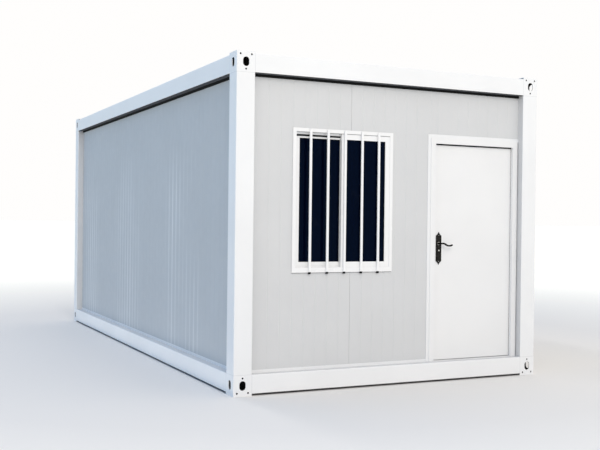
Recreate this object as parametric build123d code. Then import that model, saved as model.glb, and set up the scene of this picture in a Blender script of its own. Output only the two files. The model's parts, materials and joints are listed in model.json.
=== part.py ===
from build123d import *
import os

# A flat-pack container house: a steel frame of posts, beams and corner blocks,
# closed with insulated wall panels, with a barred sliding window and a door in
# its front end. Millimetres, +Z up, the front faces -Y. The origin is at the
# middle of the footprint, on the ground.

# Overall size
house_width = 3000
house_length = 5950
house_height = 2750

# Frame: posts, beams and corner blocks
post_face = 160
post_return = 120
post_lip = 25
post_steel = 4
beam_steel = 4
bend_outer_radius = 8
floor_beam_height = 156
roof_beam_height = 154
block_stand_out = 14
block_plate = 8
block_edge_chamfer = 3

# Holes in the corner blocks
hook_slot_width = 54
hook_slot_height = 76
block_bolt_diameter = 16
block_bolt_sides = 12
block_bolt_spread = 96
block_bolt_reach = 59

# Floor beam section and floor
floor_flange = 60
floor_lip = 18
floor_board_thickness = floor_lip
joist_width = 50
joist_steel = 3
joist_lip = 15
joist_count = 10

# Roof beam section and roof
eaves_flange = 62
eaves_lip = 20
gutter_rise = 40
gutter_depth = 70
gutter_top_flange = 34
gutter_top_lip = 14
ceiling_thickness = 10
purlin_width = 50
purlin_steel = 3
purlin_count = 5
roof_sheet_thickness = 3
roof_rib_height = 24
roof_rib_pitch = 225
roof_rib_top = 30
roof_rib_base = 66
roof_sheet_overhang = 30
roof_sheet_edge = 12
roof_sheet_notch_gap = 2

# Walls
wall_recess = 72
wall_thickness = 75
panel_width = 980
first_joint = 1078
ribs_per_panel = 9
rib_groove_width = 9
rib_groove_depth = 1.6
joint_gap = 1
joint_bevel_width = 2
joint_bevel_depth = 2
tongue_length = 12
tongue_thickness = 16
tongue_clearance = 1
channel_sheet = 2
channel_fit = 0.5
channel_height = 25
trim_leg = 38
trim_sheet = 2

# Window
window_width = 955
window_height = 1197
window_left = 530
window_sill_height = 975
window_stand_out = 10
window_flange = 9
window_fit = 1
frame_face = 30
sill_face = 42
sash_rail = 45
sash_depth = 24
track_gap = 4
track_fin = 4
head_fin_drop = 20
sill_fin_rise = 10
sash_seat = 0.3
sash_head_gap = 4
glass_thickness = 5
glass_bite = 8
glass_seat = 0.3
bar_count = 5
bar_pitch = 163
bar_width = 22
bar_depth = 14
bar_wall = 2
bar_overrun = 5
bar_corner = 3
bar_shift = 7

# Door frame, measured across the doorway
door_clear_width = 850
door_clear_height = 1934
door_post_gap = 10
jamb_face = 50
door_frame_stand_out = 10
stop_depth = 30
stop_overlap = 12
leaf_gap = 5
leaf_thickness = 50
threshold_thickness = 3
surround_width = 30
surround_sheet = 5
packer_recess = 20

# Hinges
hinge_count = 2
hinge_end_distance = 220
knuckle_radius = 7
knuckle_length = 45
hinge_pin_radius = 4
hinge_pin_clearance = 0.1
knuckle_gap = 0.5
hinge_plate_sheet = 3
hinge_plate_reach = 17
leaf_plate_reach = 30

# Lock and lever handle
lever_height = 1046
lever_backset = 71
plate_width = 56
plate_length = 294
plate_thickness = 6
plate_point = 34
plate_above_lever = 103
cylinder_drop = 62
cylinder_radius = 8.5
cylinder_tail_width = 10
cylinder_tail_length = 16
cylinder_stand_out = 3
cylinder_fit = 0.3
spindle_side = 8
spindle_bore_radius = 6
spindle_fit = 0.1
spindle_bite = 20
hub_radius = 11
hub_length = 12
hub_gap = 0.3
neck_radius = 6
lever_stand_off = 46
lever_grip_width = 14
lever_grip_depth = 13
lever_grip_edge = 2
lever_hump_radius = 58
lever_dip_radius = 66
lever_root_slope = 12
lever_fall_slope = 34
lever_tip_slope = 26

# Levels and planes worked out from the sizes above
half_x = house_width / 2
half_y = house_length / 2
floor_beam_bottom = block_stand_out
floor_top = floor_beam_bottom + floor_beam_height
roof_beam_top = house_height - block_stand_out
roof_beam_bottom = roof_beam_top - roof_beam_height
wall_top = roof_beam_bottom + gutter_rise
wall_bottom = floor_top + channel_sheet
inner_x = half_x - post_face
inner_y = half_y - post_face
wall_inner = wall_recess + wall_thickness

# Door places, as distances from the house's left side and its front
frame_right = house_width - post_face - door_post_gap
frame_left = frame_right - door_clear_width - 2 * jamb_face
clear_left = frame_left + jamb_face
clear_right = frame_right - jamb_face
clear_top = floor_top + door_clear_height
frame_top = clear_top + jamb_face
frame_front = wall_recess - door_frame_stand_out
stop_back = frame_front + stop_depth
leaf_front = stop_back + leaf_gap
leaf_back = leaf_front + leaf_thickness
leaf_left = clear_left - stop_overlap
leaf_right = clear_right + stop_overlap
leaf_top = clear_top + stop_overlap
leaf_bottom = floor_top + threshold_thickness + leaf_gap
surround_left = frame_left - surround_width
surround_top = frame_top + surround_width
hinge_x = leaf_right + leaf_gap / 2
hinge_y = leaf_back + knuckle_radius
lever_x = leaf_left + lever_backset
lever_z = floor_top + lever_height
cylinder_z = lever_z - cylinder_drop


def block(x0, x1, y0, y1, z0, z1):
    """A rectangular solid from its low and high faces."""
    size = Box(x1 - x0, y1 - y0, z1 - z0, align=Align.MIN)
    return Pos(x0, y0, z0) * size


def front_block(x0, x1, y0, y1, z0, z1):
    """A rectangular solid placed from the house's left side, front and ground."""
    return block(x0 - half_x, x1 - half_x, y0 - half_y, y1 - half_y, z0, z1)


def folded_section(points, sheet, rounded=()):
    """The face of a sheet folded along points, its thickness on their left.
    The bends at the rounded points, which show, have their outer radius."""
    path = [Vector(*point) for point in points]
    runs = [(b - a).normalized() for a, b in zip(path, path[1:])]
    sides = [Vector(-run.Y, run.X) for run in runs]
    offset_path = [path[0] + sides[0] * sheet]
    for before, after, corner in zip(sides, sides[1:], path[1:]):
        offset_path.append(corner + (before + after) * (sheet / (1 + before.dot(after))))
    offset_path.append(path[-1] + sides[-1] * sheet)
    section = make_face(Polyline(*path, *offset_path[::-1], close=True).edges())
    bends = [
        corner
        for corner in section.vertices()
        if any((Vector(corner) - Vector(*point)).length < joint_gap for point in rounded)
    ]
    return fillet(bends, bend_outer_radius) if bends else section


def along_front(section, x0, x1):
    """Extrude a section drawn as (inward, up) along the front side, from x0 to x1."""
    plane = Plane(origin=(x0, -half_y, 0), x_dir=(0, 1, 0), z_dir=(1, 0, 0))
    return extrude(plane * section, amount=x1 - x0, dir=(1, 0, 0))


def along_left(section, y0, y1):
    """Extrude a section drawn as (inward, up) along the left side, from y0 to y1."""
    plane = Plane(origin=(-half_x, y0, 0), x_dir=(1, 0, 0), z_dir=(0, -1, 0))
    return extrude(plane * section, amount=y1 - y0, dir=(0, 1, 0))


def at_corners(piece):
    """A front left piece and its three mirror images, by corner name."""
    front_right = mirror(piece, about=Plane.YZ)
    return {
        "front_left": piece,
        "front_right": front_right,
        "back_left": mirror(piece, about=Plane.XZ),
        "back_right": mirror(front_right, about=Plane.XZ),
    }


def save(name, *pieces):
    """Write one node, of one solid or of several that don't touch."""
    solids = [solid for piece in pieces for solid in piece.solids()]
    shape = solids[0] if len(solids) == 1 else Compound(children=solids)
    shape.label = name
    export_step(shape, f"parts/{name}.step")


# Corner posts
def corner_post():
    """A cold-formed post with two outer faces, two returns and two lips."""
    lip_end = post_face - post_lip
    path = [
        (lip_end, post_return),
        (post_face, post_return),
        (post_face, 0),
        (0, 0),
        (0, post_face),
        (post_return, post_face),
        (post_return, lip_end),
    ]
    section = folded_section(path[::-1], post_steel, rounded=path[2:5])
    base = Plane(origin=(-half_x, -half_y, floor_top))
    return extrude(base * section, amount=roof_beam_bottom - floor_top, dir=(0, 0, 1))


# Corner blocks
def bolt_hole_sketch(bolts_up, hole):
    """The three bolt holes round a block's slot, two of them on the bolts_up side."""
    holes = Pos(0, -bolts_up * block_bolt_reach) * hole
    for side in (-1, 1):
        holes += Pos(side * block_bolt_spread / 2, bolts_up * block_bolt_reach) * hole
    return holes


def corner_block(bottom, top, bolts_up, hole):
    """A hollow welded block: a hook slot in both outer faces, bolt holes in the end face."""
    height = top - bottom
    outer = block(-half_x, -inner_x, -half_y, -inner_y, bottom, top)
    outer_edge = outer.edges().filter_by(Axis.Z).sort_by(Axis.X).sort_by(Axis.Y)[0]
    outer = chamfer(outer_edge, block_edge_chamfer)
    cavity = block(
        -half_x + block_plate,
        -inner_x - block_plate,
        -half_y + block_plate,
        -inner_y - block_plate,
        bottom + block_plate,
        top - block_plate,
    )
    middle = bottom + height / 2
    slot_run = hook_slot_height - hook_slot_width
    slot = Rot(0, 0, 90) * SlotCenterToCenter(slot_run, hook_slot_width)
    front = Plane(origin=(-half_x + post_face / 2, -half_y, middle), x_dir=(1, 0, 0), z_dir=(0, -1, 0))
    side = Plane(origin=(-half_x, -half_y + post_face / 2, middle), x_dir=(0, -1, 0), z_dir=(-1, 0, 0))
    front_cut = extrude(front * (slot + bolt_hole_sketch(bolts_up, hole)), amount=-block_plate)
    side_cut = extrude(side * slot, amount=-block_plate)
    return outer - cavity - front_cut - side_cut


# Beams
def floor_beam_section():
    """An outer web, a short bottom flange, and a wide top ledge with a lip down."""
    path = [
        (floor_flange, floor_beam_bottom),
        (0, floor_beam_bottom),
        (0, floor_top),
        (post_face, floor_top),
        (post_face, floor_top - floor_lip),
    ]
    return folded_section(path[::-1], beam_steel, rounded=path[1:3])


def roof_beam_section():
    """An eaves section with a lip, and the gutter section that is welded inside it."""
    eaves = [
        (eaves_flange, roof_beam_bottom + eaves_lip),
        (eaves_flange, roof_beam_bottom),
        (0, roof_beam_bottom),
        (0, roof_beam_top),
        (gutter_top_flange, roof_beam_top),
        (gutter_top_flange, roof_beam_top - gutter_top_lip),
    ]
    gutter = [
        (beam_steel / 2, wall_top),
        (post_face, wall_top),
        (post_face, wall_top + gutter_depth),
    ]
    eaves_face = folded_section(eaves[::-1], beam_steel, rounded=eaves[1:4])
    return eaves_face + folded_section(gutter, beam_steel)


# Floor
def floor_joists():
    """Channels across the house, standing on the side beams' bottom flanges."""
    bottom = floor_beam_bottom + beam_steel
    top = floor_top - floor_lip
    path = [
        (joist_width, bottom + joist_lip),
        (joist_width, bottom),
        (0, bottom),
        (0, top),
        (joist_width, top),
        (joist_width, top - joist_lip),
    ]
    section = folded_section(path[::-1], joist_steel)
    reach = half_x - beam_steel
    pitch = (2 * inner_y - joist_width) / (joist_count - 1)
    joists = []
    for index in range(joist_count):
        plane = Plane(
            origin=(-reach, -inner_y + index * pitch, 0), x_dir=(0, 1, 0), z_dir=(1, 0, 0)
        )
        joists.append(extrude(plane * section, amount=2 * reach, dir=(1, 0, 0)))
    return joists


def floor_board():
    """The floor between the beams' ledges."""
    return block(
        -inner_x, inner_x, -inner_y, inner_y, floor_top - floor_board_thickness, floor_top
    )


# Roof
def ceiling():
    """The ceiling sheet under the purlins."""
    return block(-inner_x, inner_x, -inner_y, inner_y, wall_top, wall_top + ceiling_thickness)


def roof_purlins():
    """Box sections across the house between the gutters, on the ceiling sheet."""
    height = gutter_depth - ceiling_thickness
    middle = wall_top + ceiling_thickness + height / 2
    outside = Rectangle(purlin_width, height)
    inside = Rectangle(purlin_width - 2 * purlin_steel, height - 2 * purlin_steel)
    section = outside - inside
    pitch = 2 * inner_y / (purlin_count + 1)
    purlins = []
    for index in range(purlin_count):
        y = -inner_y + (index + 1) * pitch
        plane = Plane(origin=(-inner_x, y, middle), x_dir=(0, 1, 0), z_dir=(1, 0, 0))
        purlins.append(extrude(plane * section, amount=2 * inner_x, dir=(1, 0, 0)))
    return purlins


def roof_sheet():
    """A trapezoidal sheet whose ribs run across the house into the side gutters."""
    base = wall_top + gutter_depth
    reach_y = inner_y + roof_sheet_edge
    reach_x = inner_x + roof_sheet_overhang
    rib_count = int((2 * reach_y - roof_rib_base) / roof_rib_pitch)
    first = -(rib_count - 1) * roof_rib_pitch / 2
    points = [(-reach_y, base)]
    for index in range(rib_count):
        middle = first + index * roof_rib_pitch
        points += [
            (middle - roof_rib_base / 2, base),
            (middle - roof_rib_top / 2, base + roof_rib_height),
            (middle + roof_rib_top / 2, base + roof_rib_height),
            (middle + roof_rib_base / 2, base),
        ]
    points.append((reach_y, base))
    section = folded_section(points, roof_sheet_thickness)
    plane = Plane(origin=(-reach_x, 0, 0), x_dir=(0, 1, 0), z_dir=(1, 0, 0))
    sheet = extrude(plane * section, amount=2 * reach_x, dir=(1, 0, 0))
    notch = block(
        -half_x,
        -inner_x + roof_sheet_notch_gap,
        -half_y,
        -inner_y + roof_sheet_notch_gap,
        base - roof_sheet_thickness,
        house_height,
    )
    for corner_notch in at_corners(notch).values():
        sheet -= corner_notch
    return sheet


# Wall panels
def panel_section(start, end, tongue_at_start, tongue_at_end):
    """A panel in plan: ribbed outside, with a groove or a square edge at its start
    and a tongue or a square edge at its end. Places run along the wall from its
    left corner, and depths from the wall's outer face."""
    tongue_low = (wall_thickness - tongue_thickness) / 2
    tongue_high = tongue_low + tongue_thickness
    bevel = joint_bevel_width / 2
    outline = []
    if tongue_at_start:
        edge = start + joint_gap / 2
        depth = edge + tongue_length + tongue_clearance
        outline += [
            (edge, wall_thickness),
            (edge, tongue_high + tongue_clearance),
            (depth, tongue_high + tongue_clearance),
            (depth, tongue_low - tongue_clearance),
            (edge, tongue_low - tongue_clearance),
            (edge, joint_bevel_depth),
            (edge + bevel, 0),
        ]
    else:
        outline += [(start, wall_thickness), (start, 0)]
    pitch = panel_width / ribs_per_panel
    groove = rib_groove_width / 2
    rib = first_joint - int(first_joint / pitch) * pitch
    while rib < end - pitch / 2:
        near_joint = abs((rib - first_joint) % panel_width) < 1
        if rib > start + pitch / 2 and not near_joint:
            outline += [(rib - groove, 0), (rib, rib_groove_depth), (rib + groove, 0)]
        rib += pitch
    if tongue_at_end:
        edge = end - joint_gap / 2
        outline += [
            (edge - bevel, 0),
            (edge, joint_bevel_depth),
            (edge, tongue_low),
            (edge + tongue_length, tongue_low),
            (edge + tongue_length, tongue_high),
            (edge, tongue_high),
            (edge, wall_thickness),
        ]
    else:
        outline += [(end, 0), (end, wall_thickness)]
    return make_face(Polyline(*outline, close=True).edges())


def wall_panels(length, along_y):
    """The panels of one plain wall of the front or of the left side."""
    ends = [post_face]
    joint = first_joint
    while joint < length - post_face:
        ends.append(joint)
        joint += panel_width
    ends.append(length - post_face)
    panels = []
    for index, (start, end) in enumerate(zip(ends, ends[1:])):
        section = panel_section(start, end, index > 0, index < len(ends) - 2)
        panels.append(raise_panel(section, along_y))
    return panels


def raise_panel(section, along_y=False, bottom=wall_bottom, top=wall_top):
    """Stand a panel's plan section up in the front wall, or in the left wall."""
    if along_y:
        plane = Plane(
            origin=(-half_x + wall_recess, -half_y, bottom), x_dir=(0, 1, 0), z_dir=(0, 0, -1)
        )
    else:
        plane = Plane(
            origin=(-half_x, -half_y + wall_recess, bottom), x_dir=(1, 0, 0), z_dir=(0, 0, 1)
        )
    return extrude(plane * section, amount=top - bottom, dir=(0, 0, 1))


def window_opening():
    """The hole through the front wall, under the window frame's flange."""
    side = window_flange - window_fit
    return front_block(
        window_left + side,
        window_left + window_width - side,
        0,
        2 * wall_inner,
        window_sill_height + side,
        window_sill_height + window_height - side,
    )


def front_wall():
    """Two panels cut for the window, and one over the doorway."""
    left = raise_panel(panel_section(post_face, first_joint, False, True))
    right = raise_panel(panel_section(first_joint, frame_left, True, False))
    hole = window_opening()
    over_door = raise_panel(
        panel_section(frame_left + joint_gap, house_width - post_face, False, False),
        bottom=frame_top + joint_gap,
    )
    return left - hole, right - hole, over_door


def base_channels():
    """Channels on the floor beams that the wall panels stand in, open at the doorway."""
    low = wall_recess - channel_fit - channel_sheet
    high = wall_inner + channel_fit + channel_sheet
    path = [
        (low, floor_top + channel_height),
        (low, floor_top),
        (high, floor_top),
        (high, floor_top + channel_height),
    ]
    section = folded_section(path, channel_sheet)
    front = along_front(section, -inner_x, surround_left - half_x)
    left = along_left(section, -inner_y, inner_y)
    back = mirror(along_front(section, -inner_x, inner_x), about=Plane.XZ)
    return front, left, back, mirror(left, about=Plane.YZ)


def corner_trims():
    """Angles inside the house that cover the posts and the wall panels' ends."""
    reach = wall_inner + trim_leg
    path = [(wall_inner, reach), (wall_inner, wall_inner), (reach, wall_inner)]
    section = folded_section(path, trim_sheet)
    bottom = floor_top + channel_height
    base = Plane(origin=(-half_x, -half_y, bottom))
    trim = extrude(base * section, amount=roof_beam_bottom - bottom, dir=(0, 0, 1))
    return at_corners(trim).values()


# Window
window_right = window_left + window_width
window_top = window_sill_height + window_height
window_front = wall_recess - window_stand_out
outer_track = window_front + track_gap
fin_front = outer_track + sash_depth + track_gap / 2
inner_track = fin_front + track_fin + track_gap / 2
sash_left_limit = window_left + frame_face
sash_right_limit = window_right - frame_face
sash_width = (sash_right_limit - sash_left_limit + sash_rail) / 2
sash_bottom = window_sill_height + sill_face + sash_seat
sash_top = window_top - frame_face - sash_head_gap


def window_frame():
    """The fixed frame: a flange on the wall, a body through it, and two tracks."""
    flange = front_block(
        window_left, window_right, window_front, wall_recess, window_sill_height, window_top
    )
    body = front_block(
        window_left + window_flange,
        window_right - window_flange,
        wall_recess,
        wall_inner,
        window_sill_height + window_flange,
        window_top - window_flange,
    )
    hole = front_block(
        sash_left_limit,
        sash_right_limit,
        0,
        2 * wall_inner,
        window_sill_height + sill_face,
        window_top - frame_face,
    )
    frame = flange + body - hole
    fin_back = fin_front + track_fin
    head_low = window_top - frame_face - head_fin_drop
    sill_high = window_sill_height + sill_face + sill_fin_rise
    frame += front_block(
        sash_left_limit, sash_right_limit, fin_front, fin_back, head_low, window_top - frame_face
    )
    frame += front_block(
        sash_left_limit,
        sash_right_limit,
        fin_front,
        fin_back,
        window_sill_height + sill_face,
        sill_high,
    )
    return frame


def sash(left, front):
    """One sliding sash with a groove for its pane."""
    right = left + sash_width
    back = front + sash_depth
    outer = front_block(left, right, front, back, sash_bottom, sash_top)
    hole = front_block(
        left + sash_rail,
        right - sash_rail,
        front,
        back,
        sash_bottom + sash_rail,
        sash_top - sash_rail,
    )
    bite = sash_rail - glass_bite - glass_seat
    groove_front = front + sash_depth / 2 - glass_thickness / 2 - glass_seat
    groove_back = groove_front + glass_thickness + 2 * glass_seat
    groove = front_block(
        left + bite, right - bite, groove_front, groove_back, sash_bottom + bite, sash_top - bite
    )
    return outer - hole - groove


def pane(left, front):
    """The glass of one sash."""
    bite = sash_rail - glass_bite
    glass_front = front + sash_depth / 2 - glass_thickness / 2
    return front_block(
        left + bite,
        left + sash_width - bite,
        glass_front,
        glass_front + glass_thickness,
        sash_bottom + bite,
        sash_top - bite,
    )


def window_bars():
    """Tubes with bevelled corners fixed upright on the window frame's face."""
    outside = Rectangle(bar_width, bar_depth)
    outside = chamfer(outside.vertices(), bar_corner)
    inside = Rectangle(bar_width - 2 * bar_wall, bar_depth - 2 * bar_wall)
    section = outside - inside
    middle = (window_left + window_right) / 2 + bar_shift - half_x
    y = window_front - bar_depth / 2 - half_y
    bottom = window_sill_height + bar_overrun
    bars = []
    for index in range(bar_count):
        x = middle + (index - (bar_count - 1) / 2) * bar_pitch
        bars.append(
            extrude(Pos(x, y, bottom) * section, amount=window_height - 2 * bar_overrun)
        )
    return bars


# Door frame
def door_frame():
    """Jambs and a head with a rebate for the leaf, and a threshold plate."""
    outer = front_block(
        frame_left, frame_right, frame_front, leaf_back, floor_top, frame_top
    )
    way = front_block(
        clear_left, clear_right, 0, wall_inner, floor_top + threshold_thickness, clear_top
    )
    rebate = front_block(
        leaf_left - leaf_gap,
        leaf_right + leaf_gap,
        stop_back,
        wall_inner,
        floor_top + threshold_thickness,
        leaf_top + leaf_gap,
    )
    return outer - way - rebate


def door_surround():
    """A flat trim beside and over the frame, and the packer between frame and post."""
    front = wall_recess - surround_sheet
    trim = front_block(
        surround_left, frame_left, front, wall_recess, floor_top, surround_top
    )
    trim += front_block(
        surround_left, house_width - post_face, front, wall_recess, frame_top, surround_top
    )
    packer = front_block(
        frame_right,
        house_width - post_face,
        frame_front + packer_recess,
        wall_inner,
        floor_top,
        frame_top,
    )
    return trim, packer


# Door leaf, hinges and lock
def cylinder_section(extra=0.0):
    """The outline of the lock cylinder: a round barrel over a narrow tail."""
    tail_width = cylinder_tail_width + 2 * extra
    tail_length = cylinder_tail_length + cylinder_tail_width / 2
    tail = Pos(0, -tail_length / 2) * Rot(0, 0, 90) * SlotOverall(
        tail_length + tail_width, tail_width
    )
    return Circle(cylinder_radius + extra) + tail


def lock_plane(y, z):
    """A plane on the lever's or cylinder's axis, at depth y, that faces the front."""
    return Plane(origin=(lever_x - half_x, y - half_y, z), x_dir=(1, 0, 0), z_dir=(0, -1, 0))


def through_lock(section, z, front, back):
    """A section on the lock's centre line, extruded from depth front to depth back."""
    return extrude(lock_plane(back, z) * section, amount=back - front)


def door_leaf():
    """The leaf, bored for the spindle and mortised for the lock cylinder."""
    leaf = front_block(leaf_left, leaf_right, leaf_front, leaf_back, leaf_bottom, leaf_top)
    bore = through_lock(Circle(spindle_bore_radius), lever_z, leaf_front, leaf_back)
    half = cylinder_radius + cylinder_fit
    drop = cylinder_tail_length + cylinder_tail_width + cylinder_fit
    mortise = Pos(0, (half - drop) / 2) * Rectangle(2 * half, half + drop)
    return leaf - bore - through_lock(mortise, cylinder_z, leaf_front, leaf_back)


def plate_section():
    """A long plate whose ends come to a point between two arcs."""
    half = plate_width / 2
    top = plate_above_lever
    bottom = top - plate_length
    shoulder = top - plate_point
    foot = bottom + plate_point
    edges = [
        Line((-half, foot), (-half, shoulder)),
        SagittaArc((-half, shoulder), (0, top), -plate_point / 8),
        SagittaArc((0, top), (half, shoulder), -plate_point / 8),
        Line((half, shoulder), (half, foot)),
        SagittaArc((half, foot), (0, bottom), -plate_point / 8),
        SagittaArc((0, bottom), (-half, foot), -plate_point / 8),
    ]
    plate = make_face(edges)
    plate -= Circle(spindle_bore_radius)
    plate -= Pos(0, -cylinder_drop) * cylinder_section(cylinder_fit)
    return plate


def lock_plates():
    """The long plates on both faces of the leaf, and the cylinder through them."""
    outer = through_lock(plate_section(), lever_z, leaf_front - plate_thickness, leaf_front)
    inner = through_lock(plate_section(), lever_z, leaf_back, leaf_back + plate_thickness)
    stand_out = plate_thickness + cylinder_stand_out
    cylinder = through_lock(
        cylinder_section(), cylinder_z, leaf_front - stand_out, leaf_back + stand_out
    )
    return outer, inner, cylinder


def lever_outside():
    """A wave-shaped lever seen from the front, its hub at the origin, towards +Z."""
    hub = extrude(Circle(hub_radius), amount=hub_length)
    neck = extrude(Circle(neck_radius), amount=lever_stand_off)
    root_direction = polar(1, lever_root_slope)
    hump_turn = -lever_root_slope - lever_fall_slope
    hump = JernArc((0, 0), root_direction, lever_hump_radius, hump_turn)
    dip_turn = lever_fall_slope + lever_tip_slope
    dip = JernArc(hump @ 1, hump % 1, lever_dip_radius, dip_turn)
    outline = trace(hump + dip, lever_grip_width) + Circle(lever_grip_width / 2)
    outline += Pos(dip @ 1) * Circle(lever_grip_width / 2)
    grip = extrude(Pos(0, 0, lever_stand_off) * outline, amount=lever_grip_depth / 2, both=True)
    rim = grip.faces().sort_by(Axis.Z)[-1].edges()
    return hub + neck + chamfer(rim, lever_grip_edge)


def lever_pair():
    """The outside lever with its square spindle, and the inside lever that takes it."""
    lever = lever_outside()
    outer_seat = leaf_front - plate_thickness - hub_gap
    inner_seat = leaf_back + plate_thickness + hub_gap
    outer = lock_plane(outer_seat, lever_z) * lever
    spindle = through_lock(
        Rectangle(spindle_side, spindle_side), lever_z, outer_seat, inner_seat + spindle_bite
    )
    socket_side = spindle_side + 2 * spindle_fit
    socket = through_lock(
        Rectangle(socket_side, socket_side), lever_z, inner_seat, inner_seat + spindle_bite
    )
    inner_plane = Plane(
        origin=(lever_x - half_x, inner_seat - half_y, lever_z), x_dir=(-1, 0, 0), z_dir=(0, 1, 0)
    )
    inner = inner_plane * mirror(lever, about=Plane.YZ)
    return outer + spindle, inner - socket


def hinges():
    """Lift-off hinges: a pin and lower knuckle on the frame, an upper knuckle on the leaf."""
    low = leaf_bottom + hinge_end_distance
    high = leaf_top - hinge_end_distance
    frame_side = []
    leaf_side = []
    for index in range(hinge_count):
        z = low + (high - low) * index / (hinge_count - 1)
        axis = Pos(hinge_x - half_x, hinge_y - half_y, z)
        lower = axis * Pos(0, 0, -knuckle_length) * extrude(
            Circle(knuckle_radius), amount=knuckle_length
        )
        pin = axis * extrude(Circle(hinge_pin_radius), amount=knuckle_length)
        frame_plate = front_block(
            hinge_x,
            hinge_x + hinge_plate_reach,
            leaf_back,
            leaf_back + hinge_plate_sheet,
            z - knuckle_length,
            z,
        )
        frame_side.append(lower + pin + frame_plate)
        ring = Circle(knuckle_radius) - Circle(hinge_pin_radius + hinge_pin_clearance)
        upper = axis * Pos(0, 0, knuckle_gap) * extrude(ring, amount=knuckle_length - knuckle_gap)
        leaf_plate = front_block(
            hinge_x - leaf_plate_reach,
            hinge_x,
            leaf_back,
            leaf_back + hinge_plate_sheet,
            z + knuckle_gap,
            z + knuckle_length,
        )
        pin_room = axis * extrude(
            Circle(hinge_pin_radius + hinge_pin_clearance), amount=knuckle_length
        )
        leaf_side.append(upper + leaf_plate - pin_room)
    return frame_side, leaf_side


def main():
    os.makedirs("parts", exist_ok=True)

    for corner, post in at_corners(corner_post()).items():
        save(f"post_{corner}", post)
    # The front base blocks, which take the ground brackets, have round bolt holes.
    # The other blocks' holes are drawn with a few sides.
    round_hole = Circle(block_bolt_diameter / 2)
    plain_hole = RegularPolygon(block_bolt_diameter / 2, block_bolt_sides)
    round_blocks = at_corners(corner_block(0, floor_top, -1, round_hole))
    plain_blocks = at_corners(corner_block(0, floor_top, -1, plain_hole))
    for corner, piece in round_blocks.items():
        base_block = piece if corner.startswith("front") else plain_blocks[corner]
        save(f"base_block_{corner}", base_block)
    head_block = corner_block(roof_beam_bottom, house_height, 1, plain_hole)
    for corner, piece in at_corners(head_block).items():
        save(f"head_block_{corner}", piece)

    for level, section in (("floor", floor_beam_section()), ("roof", roof_beam_section())):
        front = along_front(section, -inner_x, inner_x)
        left = along_left(section, -inner_y, inner_y)
        save(f"{level}_beam_front", front)
        save(f"{level}_beam_back", mirror(front, about=Plane.XZ))
        save(f"{level}_beam_left", left)
        save(f"{level}_beam_right", mirror(left, about=Plane.YZ))

    save("floor_joists", *floor_joists())
    save("floor_board", floor_board())
    save("ceiling", ceiling())
    save("roof_purlins", *roof_purlins())
    save("roof_sheet", roof_sheet())

    left_panels = wall_panels(house_length, along_y=True)
    save("left_wall", *left_panels)
    save("right_wall", *[mirror(panel, about=Plane.YZ) for panel in left_panels])
    back_panels = wall_panels(house_width, along_y=False)
    save("back_wall", *[mirror(panel, about=Plane.XZ) for panel in back_panels])
    panel_left, panel_right, panel_over_door = front_wall()
    save("front_wall_left", panel_left)
    save("front_wall_middle", panel_right)
    save("front_wall_over_door", panel_over_door)
    save("wall_base_channels", *base_channels())
    save("corner_trims", *corner_trims())

    right_sash_left = sash_right_limit - sash_width
    save("window_frame", window_frame())
    save("window_sashes", sash(sash_left_limit, inner_track), sash(right_sash_left, outer_track))
    save("window_panes", pane(sash_left_limit, inner_track), pane(right_sash_left, outer_track))
    save("window_bars", *window_bars())

    save("door_frame", door_frame())
    save("door_surround", *door_surround())
    save("door_leaf", door_leaf())
    frame_hinges, leaf_hinges = hinges()
    save("hinge_frame_side", *frame_hinges)
    save("hinge_leaf_side", *leaf_hinges)
    save("lock_plates", *lock_plates())
    lever_outer, lever_inner = lever_pair()
    save("lever_outer", lever_outer)
    save("lever_inner", lever_inner)


main()
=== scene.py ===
import json
import math
import bmesh
import bpy
from mathutils import Matrix, Vector


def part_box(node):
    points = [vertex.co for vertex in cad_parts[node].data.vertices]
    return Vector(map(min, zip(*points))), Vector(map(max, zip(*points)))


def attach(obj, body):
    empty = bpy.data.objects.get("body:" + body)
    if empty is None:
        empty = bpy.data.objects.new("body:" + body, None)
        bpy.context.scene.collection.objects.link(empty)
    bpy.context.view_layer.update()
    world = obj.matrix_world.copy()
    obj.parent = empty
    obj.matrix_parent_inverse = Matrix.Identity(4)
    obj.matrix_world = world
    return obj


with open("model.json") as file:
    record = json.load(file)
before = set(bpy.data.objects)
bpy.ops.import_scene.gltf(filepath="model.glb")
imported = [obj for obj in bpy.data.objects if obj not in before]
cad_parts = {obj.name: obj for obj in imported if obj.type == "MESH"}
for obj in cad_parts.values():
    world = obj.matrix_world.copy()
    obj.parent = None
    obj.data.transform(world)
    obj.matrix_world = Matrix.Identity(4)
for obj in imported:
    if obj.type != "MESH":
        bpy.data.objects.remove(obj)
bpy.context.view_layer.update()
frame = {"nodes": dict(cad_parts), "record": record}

# Finishes and small parts of the container house. Metres, in the frame of the
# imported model: +Z up, the front faces -Y, the origin on the ground.

MILLIMETRE = 0.001

# The photo's camera, fitted to the house's corners
CAMERA_PLACE = Vector((-4.199, -9.796, 1.4068))
CAMERA_YAW = 0.4469
CAMERA_PITCH = -0.0049
CAMERA_ROLL = 0.0117
CAMERA_LENS = 55.52
CAMERA_SENSOR = 36.0

# The floor, which glows more with the distance from the house, as painted light, and so fades to white
FLOOR_COLOUR = (0.80, 0.78, 0.755)
FLOOR_ROUGHNESS = 0.9
FLOOR_REACH = 400.0
FLOOR_GLOW_SPAN = (4.5, 12.0)
FLOOR_GLOW_COLOUR = (0.39, 0.38, 0.32)

# The sky: white in front, and blue on the left. The spans say between which
# values of a direction's X, Y and Z one colour turns into the other.
FRONT_SKY = (1.0, 0.99, 0.98)
LOW_LEFT_SKY = (0.30, 0.60, 0.80)
HIGH_LEFT_SKY = (0.0, 0.25, 0.66)
LEFT_SKY_FROM_X = (-0.05, -0.45)
LEFT_SKY_FROM_Y = (-0.45, -0.05)
LEFT_SKY_FROM_Z = (0.15, 0.32)
SKY_STRENGTH = 1.0

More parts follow.
